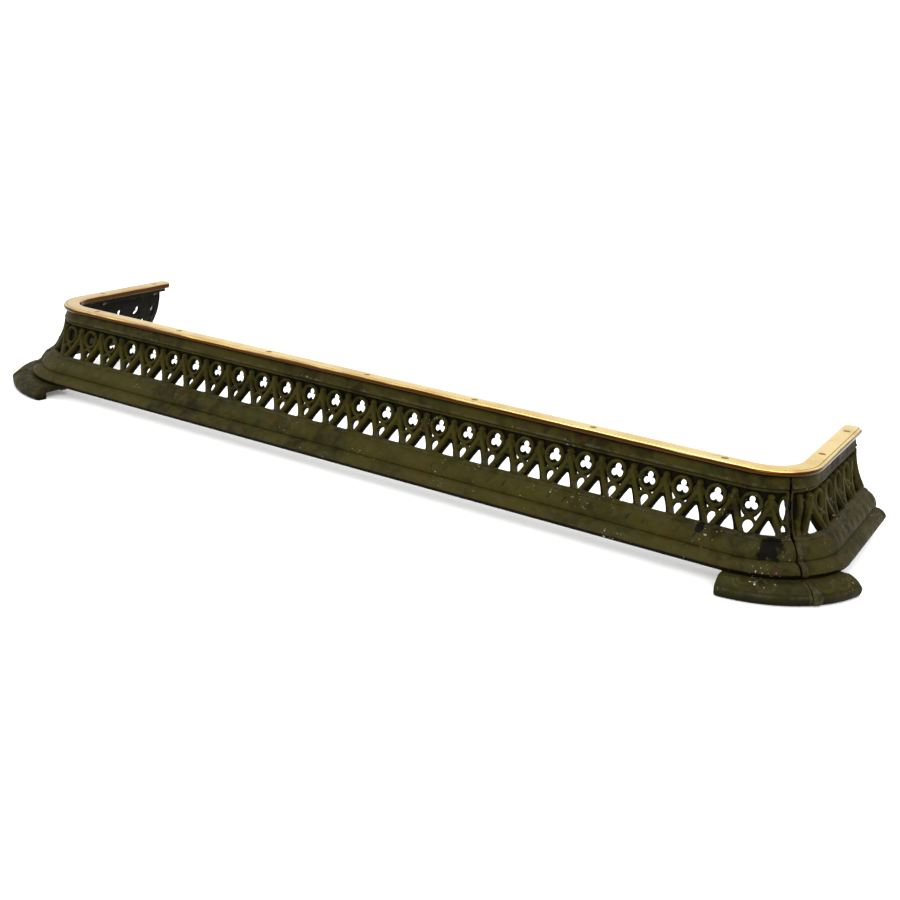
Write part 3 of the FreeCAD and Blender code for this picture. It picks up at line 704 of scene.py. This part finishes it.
def joint_strip(hand, side, material):
    """The domed strip that covers the joint over the base, on the return side of the seam."""
    outline, leaf_from, _ = base_profile()
    face = np.array(outline[leaf_from:len(outline) - 5])
    slope = np.gradient(face, axis=0)
    slope /= np.linalg.norm(slope, axis=1)[:, None]
    angle = np.linspace(SEAM_ANGLE + 0.3, SEAM_ANGLE + 4.4, 13)
    dome = 2.0 * np.sqrt(np.clip(1 - ((angle - angle.mean()) / (angle[-1] - angle.mean() + 0.05)) ** 2, 0, 1))
    wobble = 1 + 0.18 * np.sin(np.arange(len(face)) * 0.55)
    lift = 0.2 + dome[:, None] * wobble[None, :]
    top = polar_place(side, angle[:, None], face[None, :, 0] - slope[None, :, 1] * lift,
                      face[None, :, 1] + slope[None, :, 0] * lift)
    under = polar_place(side, angle[:, None], face[None, :, 0] - slope[None, :, 1] * 0.02,
                        face[None, :, 1] + slope[None, :, 0] * 0.02)
    ring = np.concatenate([top, under[::-1]], axis=0)
    columns, count = ring.shape[:2]
    shell = Shell("raised", "ledge")
    # a clean tone, and a lighter grey over the strip: rubbed wear and painted highlight
    shell.add(ring, grid_faces(columns, count), raised=0.85, ledge=0.7)
    last = (columns - 1) * count
    shell.faces.extend((last + j, j, j + 1, last + j + 1) for j in range(count - 1))
    for j in (0, count - 1):
        shell.faces.append(tuple(i * count + j for i in range(columns)))
    piece = shell.build(hand + "_joint_strip_iron", material, sharp=45, merge=True)
    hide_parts(hand + "_joint_cover")


# ---- brass rail ----------------------------------------------------------------------------------------

RAIL_TIP_RUN = STRAIGHT + BEND + RAIL_END - RADIUS
RAIL_TIP = RAIL_WIDTH * 0.35
# a screw's clearance hole and countersink: lower radius, upper radius, lower height, upper height
SCREW_SINK = ((2.75, 2.75, 139, 152), (2.7, 5.6, 146.9, 150.3))


def rail_profile():
    """Flat top, a fine line, a round nose, and softened inner edges."""
    nose = arc_points((-1.9, RAIL_TOP - 0.15), (RAIL_OUTER, 145.1), (-1.9, BAND_TOP + 0.02), 18)
    inner = RAIL_OUTER - RAIL_WIDTH
    back = [(-8, BAND_TOP), (inner + 0.6, BAND_TOP), (inner, BAND_TOP + 0.6), (inner, RAIL_TOP - 2)]
    back += arc_points((inner, RAIL_TOP - 2), (inner + 0.6, RAIL_TOP - 0.6), (inner + 2, RAIL_TOP), 4)[1:]
    groove = [(-12, RAIL_TOP), (-3.1, RAIL_TOP), (-2.8, RAIL_TOP - 0.2), (-2.6, RAIL_TOP - 0.8),
              (-2.1, RAIL_TOP - 0.8)]
    return nose + back + groove


def screw_points():
    """Screw centres on the rail, from the separate screws in the frame's rail_screws node."""
    work = bmesh.new()
    work.from_mesh(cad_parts["rail_screws"].data)
    bmesh.ops.remove_doubles(work, verts=work.verts, dist=1e-5)
    found, seen = [], set()
    for vert in work.verts:
        if vert.index in seen:
            continue
        island, stack = [], [vert]
        seen.add(vert.index)
        while stack:
            item = stack.pop()
            island.append(item.co.copy())
            for edge in item.link_edges:
                other = edge.other_vert(item)
                if other.index not in seen:
                    seen.add(other.index)
                    stack.append(other)
        xs, ys = [p.x for p in island], [p.y for p in island]
        found.append(((min(xs) + max(xs)) / 2, (min(ys) + max(ys)) / 2))
    work.free()
    return found


def rail_runs():
    """Runs of the rail's sections, closer together round the corners and the rounded tips."""
    straight = np.arange(0, STRAIGHT, 24.0)
    corner = STRAIGHT + np.linspace(0, BEND, 49)
    side = STRAIGHT + BEND + np.arange(12, RAIL_TIP_RUN - RAIL_TIP - STRAIGHT - BEND, 24.0)
    tip = RAIL_TIP_RUN - RAIL_TIP * np.cos(np.linspace(0, 1, 15) * math.pi / 2)
    half = np.concatenate([straight, corner, side, tip])
    return np.concatenate([-half[:0:-1], half])


def sink_screws(rail):
    """Cuts a countersunk hole for every screw."""
    cutter_mesh = bpy.data.meshes.new("screw_sinks")
    work = bmesh.new()
    for x, y in screw_points():
        for radius_low, radius_high, low, high in SCREW_SINK:
            bmesh.ops.create_cone(work, cap_ends=True, segments=32, radius1=radius_low * MM,
                                  radius2=radius_high * MM, depth=(high - low) * MM,
                                  matrix=Matrix.Translation((x, y, (low + high) / 2 * MM)))
    work.to_mesh(cutter_mesh)
    work.free()
    cutter = bpy.data.objects.new("screw_sinks", cutter_mesh)
    bpy.context.scene.collection.objects.link(cutter)
    cut = rail.modifiers.new("sinks", "BOOLEAN")
    cut.operation = "DIFFERENCE"
    cut.solver = "EXACT"
    cut.use_self = True
    cut.object = cutter
    bpy.context.view_layer.update()
    final = bpy.data.meshes.new_from_object(rail.evaluated_get(bpy.context.evaluated_depsgraph_get()))
    rail.modifiers.clear()
    rail.data = final
    bpy.data.objects.remove(cutter)


def brass_rail(material):
    """The rail swept along its plan, narrowing to rounded tips."""
    profile = np.array(rail_profile())
    run = rail_runs()
    beyond = np.clip((np.abs(run) - (RAIL_TIP_RUN - RAIL_TIP)) / RAIL_TIP, 0, 0.9995)
    narrow = np.sqrt(1 - beyond**2)
    middle = RAIL_OUTER - RAIL_WIDTH / 2
    offsets = middle + (profile[None, :, 0] - middle) * narrow[:, None]
    heights = np.repeat(profile[None, :, 1], len(run), axis=0)
    # the fine groove at the shoulder, marked for painted shade
    painted_groove_shade = (profile[:, 0] > -2.9) & (profile[:, 0] < -1.95) & (profile[:, 1] > 148.9)
    count = len(profile)
    shell = Shell("ledge")
    shell.add(plan_place(run[:, None], offsets, heights), grid_faces(len(run), count, closed_rows=True),
              ledge=np.tile(painted_groove_shade, len(run)))
    shell.faces.append(tuple(range(count)))
    shell.faces.append(tuple((len(run) - 1) * count + k for k in range(count)))
    rail = shell.build("brass_rail", material, sharp=32)
    sink_screws(rail)
    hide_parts("top_rail")


# ---- materials -----------------------------------------------------------------------------------------

class Nodes:
    """Short calls for building a material's node tree."""

    def __init__(self, name, roughness, metallic, **constants):
        self.material = bpy.data.materials.new(name)
        self.material.use_nodes = True
        self.tree = self.material.node_tree
        self.shader = self.tree.nodes["Principled BSDF"]
        self.shader.inputs["Roughness"].default_value = roughness
        self.shader.inputs["Metallic"].default_value = metallic
        for key, value in constants.items():
            self.shader.inputs[key.replace("_", " ")].default_value = value
        self.place = self.tree.nodes.new("ShaderNodeTexCoord").outputs["Object"]

    def link(self, source, target):
        self.tree.links.new(source, target)

    def noise(self, scale, detail=5.0, rough=0.6, distortion=0.0):
        node = self.tree.nodes.new("ShaderNodeTexNoise")
        node.inputs["Scale"].default_value = scale
        node.inputs["Detail"].default_value = detail
        node.inputs["Roughness"].default_value = rough
        node.inputs["Distortion"].default_value = distortion
        self.link(self.place, node.inputs["Vector"])
        return node.outputs["Fac"]

    def ramp(self, source, low, high, first=0.0, last=1.0):
        node = self.tree.nodes.new("ShaderNodeMapRange")
        node.interpolation_type = "SMOOTHSTEP"
        for key, value in (("From Min", low), ("From Max", high), ("To Min", first), ("To Max", last)):
            node.inputs[key].default_value = value
        self.link(source, node.inputs["Value"])
        return node.outputs["Result"]

    def math(self, operation, a, b):
        node = self.tree.nodes.new("ShaderNodeMath")
        node.operation = operation
        for socket, value in zip(node.inputs, (a, b)):
            if isinstance(value, (int, float)):
                socket.default_value = value
            else:
                self.link(value, socket)
        return node.outputs[0]

    def mix(self, factor, a, b):
        node = self.tree.nodes.new("ShaderNodeMix")
        node.data_type = "RGBA"
        self.link(factor, node.inputs[0])
        for socket, value in ((node.inputs[6], a), (node.inputs[7], b)):
            if isinstance(value, tuple):
                socket.default_value = (*value, 1)
            else:
                self.link(value, socket)
        return node.outputs[2]

    def attribute(self, name):
        node = self.tree.nodes.new("ShaderNodeAttribute")
        node.attribute_name = name
        return node.outputs["Fac"]

    def axis(self, name):
        node = self.tree.nodes.new("ShaderNodeSeparateXYZ")
        self.link(self.place, node.inputs[0])
        return node.outputs[name]

    def bump(self, height, strength, distance):
        node = self.tree.nodes.new("ShaderNodeBump")
        node.inputs["Strength"].default_value = strength
        node.inputs["Distance"].default_value = distance
        self.link(height, node.inputs["Height"])
        self.link(node.outputs["Normal"], self.shader.inputs["Normal"])

    def finish(self, colour, roughness=None):
        self.link(colour, self.shader.inputs["Base Color"])
        if roughness is not None:
            self.link(roughness, self.shader.inputs["Roughness"])
        return self.material


# linear colours
OLIVE = (0.0320, 0.0265, 0.0034)
OLIVE_DARK = (0.0100, 0.0085, 0.0014)
# near black: real soot in the smudges, and painted shade where the tone is low
SOOT_AND_PAINTED_SHADE = (0.0014, 0.0011, 0.0005)
RUST = (0.040, 0.0175, 0.0035)
GREEN = (0.0175, 0.0260, 0.0045)
# lighter grey: rubbed wear and painted highlight on the ledges
GREY = (0.046, 0.041, 0.024)
CHIP = (0.42, 0.42, 0.32)
BRASS = (0.87, 0.65, 0.24)
BRASS_WARM = (0.72, 0.46, 0.12)
BRASS_DARK = (0.42, 0.26, 0.09)
# dark brass: real tarnish in the specks, and painted shade with a painted dark reflection on the lower nose
# and in the fine line
TARNISH_AND_PAINTED_SHADE = (0.038, 0.011, 0.003)
# black smudges: (run, offset, height), reach in metres, ragged edge, outer and inner limits, and depth
SMUDGES = (
    ((SEAM - 24.0, 39.0, 52.0), (0.015, 0.022, 0.013), 5.0, 1.5, 0.4, 0.97),
    ((SEAM - 2.15 * PITCH, 27.0, 61.0), (0.0050, 0.013, 0.005), 4.0, 1.3, 0.6, 0.9),
)


def smudge(nodes, centre, reach):
    """Under 1 inside a rounded box about a point on the surface, and over 1 outside it, in metres."""
    total = None
    for axis, at, size in zip("XYZ", centre, reach):
        part = nodes.math("DIVIDE", nodes.math("SUBTRACT", nodes.axis(axis), at), size)
        part = nodes.math("POWER", nodes.math("ABSOLUTE", part, 0), 4)
        total = part if total is None else nodes.math("ADD", total, part)
    return total


def painted_iron():
    """Worn olive paint: painted shade in the recesses, rubbed wear and painted highlight on the ledges, with
    rust, green and white chips.
    """
    nodes = Nodes("painted_iron", 0.5, 0.0, Specular_IOR_Level=0.04)
    raised, ledge = nodes.attribute("raised"), nodes.attribute("ledge")
    broad = nodes.noise(9, 4, 0.55)
    patch = nodes.noise(38, 6, 0.65, 0.4)
    fine = nodes.noise(260, 4, 0.7)
    colour = nodes.mix(nodes.ramp(broad, 0.35, 0.68), OLIVE_DARK, OLIVE)
    colour = nodes.mix(nodes.ramp(patch, 0.38, 0.62, 0.0, 0.75), colour, OLIVE)
    colour = nodes.mix(nodes.ramp(nodes.noise(21, 5, 0.6, 0.8), 0.56, 0.70, 0.0, 0.65), colour, GREEN)
    colour = nodes.mix(nodes.ramp(nodes.noise(33, 5, 0.62, 1.1), 0.58, 0.70, 0.0, 0.6), colour, RUST)
    # lighter grey on the ledges: rubbed paint and painted highlight
    rubbed_and_painted_highlight = nodes.math("MULTIPLY", ledge, nodes.ramp(nodes.noise(90, 4, 0.6), 0.4, 0.62, 0.0, 0.75))
    colour = nodes.mix(rubbed_and_painted_highlight, colour, GREY)
    # painted shade: the low tone of recesses, back faces, fascia, lugs and seams mixed towards near black
    colour = nodes.mix(nodes.ramp(raised, 0.75, 0.3, 0.0, 0.93), colour, SOOT_AND_PAINTED_SHADE)
    chips = nodes.math("MULTIPLY", nodes.ramp(nodes.noise(330, 2, 0.5), 0.66, 0.70),
                       nodes.ramp(nodes.noise(26, 3, 0.6, 0.5), 0.54, 0.64))
    chips = nodes.math("MULTIPLY", chips, nodes.math("ADD", nodes.math("MULTIPLY", ledge, 0.8), 0.3))
    chips = nodes.math("MULTIPLY", chips, nodes.ramp(nodes.axis("X"), -0.3, 0.4, 0.4, 1.2))
    colour = nodes.mix(chips, colour, CHIP)
    ragged_edge = nodes.math("SUBTRACT", patch, 0.5)
    for place, reach, rough_edge, outer, inner, depth in SMUDGES:
        spot = smudge(nodes, plan_place(*place), reach)
        spot = nodes.math("ADD", spot, nodes.math("MULTIPLY", ragged_edge, rough_edge))
        colour = nodes.mix(nodes.ramp(spot, outer, inner, 0.0, depth), colour, SOOT_AND_PAINTED_SHADE)
    height = nodes.math("ADD", nodes.math("MULTIPLY", patch, 0.8), nodes.math("MULTIPLY", fine, 0.35))
    nodes.bump(height, 0.55, 0.0011)
    rough = nodes.ramp(nodes.noise(60, 4, 0.6), 0.3, 0.7, 0.42, 0.66)
    return nodes.finish(colour, rough)


def brass_finish():
    """Polished brass, darker towards the left, with painted shade and a painted dark reflection on the lower
    nose, painted shade in the fine line, and tarnish specks.
    """
    nodes = Nodes("brass", 0.2, 1.0)
    cloud = nodes.noise(14, 5, 0.6, 0.6)
    colour = nodes.mix(nodes.ramp(cloud, 0.35, 0.7), BRASS, BRASS_WARM)
    specks = nodes.math("MULTIPLY", nodes.ramp(nodes.noise(190, 3, 0.6), 0.63, 0.70),
                        nodes.ramp(nodes.noise(24, 3, 0.6, 0.4), 0.5, 0.62))
    colour = nodes.mix(nodes.math("MULTIPLY", specks, 0.7), colour, TARNISH_AND_PAINTED_SHADE)
    wander = nodes.math("MULTIPLY", nodes.math("SUBTRACT", nodes.noise(9, 4, 0.6), 0.5), 0.004)
    height = nodes.math("ADD", nodes.axis("Z"), wander)
    # darker towards the left end
    colour = nodes.mix(nodes.ramp(nodes.axis("X"), -0.25, -0.78, 0.0, 0.55), colour, BRASS_DARK)
    # the lower nose darkened: painted shade and a painted dark reflection
    colour = nodes.mix(nodes.ramp(height, 0.1491, 0.1477, 0.0, 0.98), colour, TARNISH_AND_PAINTED_SHADE)
    # painted shade along the fine groove
    colour = nodes.mix(nodes.ramp(nodes.attribute("ledge"), 0.35, 0.9, 0.0, 0.9), colour, TARNISH_AND_PAINTED_SHADE)
    rough = nodes.math("ADD", nodes.ramp(nodes.noise(30, 5, 0.65), 0.3, 0.7, 0.13, 0.26),
                       nodes.math("MULTIPLY", specks, 0.25))
    nodes.bump(nodes.noise(55, 4, 0.5), 0.10, 0.0006)
    return nodes.finish(colour, rough)


def plain_metal(name, light, dark, scale, metallic):
    nodes = Nodes(name, 0.5, metallic)
    grain = nodes.noise(scale, 5, 0.65)
    nodes.bump(grain, 0.35, 0.0005)
    return nodes.finish(nodes.mix(nodes.ramp(grain, 0.35, 0.65), dark, light),
                        nodes.ramp(nodes.noise(scale * 1.7, 4, 0.6), 0.3, 0.7, 0.38, 0.62))


def pale_floor():
    nodes = Nodes("pale_floor", 0.85, 0.0, Emission_Color=(1, 1, 1, 1), Emission_Strength=0.12)
    grain = nodes.noise(4, 3, 0.5)
    return nodes.finish(nodes.mix(nodes.ramp(grain, 0.3, 0.7), (0.90, 0.90, 0.89), (0.92, 0.92, 0.91)))


def dress(node, material):
    """Give a CAD node that stays visible its material."""
    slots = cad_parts[node].material_slots
    if not slots:
        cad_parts[node].data.materials.append(material)
    for place in slots:
        place.material = material


# ---- floor, lights and camera --------------------------------------------------------------------------

FLOOR_SIZE = 80
WORLD_STRENGTH = 1.05
# name, place, target, power in watts, width, height
LIGHTS = (
    ("key", (1.6, -2.2, 2.6), (0.1, 0, 0), 58, 2.2, 1.6),
    ("fill", (-2.4, -1.6, 1.6), (0, 0, 0), 30, 2.0, 1.4),
    ("top", (0.2, 0.6, 2.8), (0, 0, 0), 45, 3.0, 1.6),
)
CAMERA_PLACE = (1.0344, -1.6360, 0.6658)
CAMERA_FORWARD = (-0.46730, 0.82381, -0.32089)
CAMERA_RIGHT = (0.85614, 0.51222, 0.06825)
CAMERA_LENS, CAMERA_SENSOR = 49.83, 36


def stage():
    """A pale floor under an even white sky, shown without a film curve."""
    bpy.ops.mesh.primitive_plane_add(size=FLOOR_SIZE, location=(0, 0, -0.0004))
    floor = bpy.context.object
    floor.name = "floor"
    floor.data.materials.append(pale_floor())
    world = bpy.data.worlds.new("studio")
    bpy.context.scene.world = world
    world.use_nodes = True
    world.node_tree.nodes["Background"].inputs["Color"].default_value = (1, 1, 1, 1)
    world.node_tree.nodes["Background"].inputs["Strength"].default_value = WORLD_STRENGTH
    bpy.context.scene.view_settings.view_transform = "Standard"


def area_light(name, place, target, power, width, height):
    """A rectangular lamp at one place that faces another."""
    data = bpy.data.lights.new(name, "AREA")
    data.shape = "RECTANGLE"
    data.size, data.size_y, data.energy = width, height, power
    lamp = bpy.data.objects.new(name, data)
    bpy.context.scene.collection.objects.link(lamp)
    lamp.location = place
    lamp.rotation_euler = (Vector(target) - Vector(place)).to_track_quat("-Z", "Y").to_euler()


def camera():
    """Looks down on the fender from the front right."""
    data = bpy.data.cameras.new("camera")
    data.lens, data.sensor_width = CAMERA_LENS, CAMERA_SENSOR
    data.clip_end = 50
    seen = bpy.data.objects.new("camera", data)
    bpy.context.scene.collection.objects.link(seen)
    forward = Vector(CAMERA_FORWARD).normalized()
    right = Vector(CAMERA_RIGHT)
    right = (right - forward * right.dot(forward)).normalized()
    up = right.cross(forward)
    turned = Matrix((right, up, -forward)).transposed().to_4x4()
    seen.matrix_world = Matrix.Translation(CAMERA_PLACE) @ turned
    bpy.context.scene.camera = seen


iron = painted_iron()
build_castings(iron)
for hand, side in (("left", -1), ("right", 1)):
    for place in ("front", "return"):
        corner_foot(hand, side, place, iron)
    joint_strip(hand, side, iron)
brass_rail(brass_finish())
bolts = plain_metal("dull_iron", (0.075, 0.060, 0.045), (0.030, 0.022, 0.016), 240, 0.6)
for group in ("corner", "foot"):
    for kind in ("bolts", "washers", "nuts"):
        dress("%s_%s" % (group, kind), bolts)
dress("rail_nuts", bolts)
dress("rail_screws", plain_metal("tarnished_brass", (0.42, 0.27, 0.10), (0.14, 0.08, 0.03), 300, 0.95))
stage()
for light in LIGHTS:
    area_light(*light)
camera()
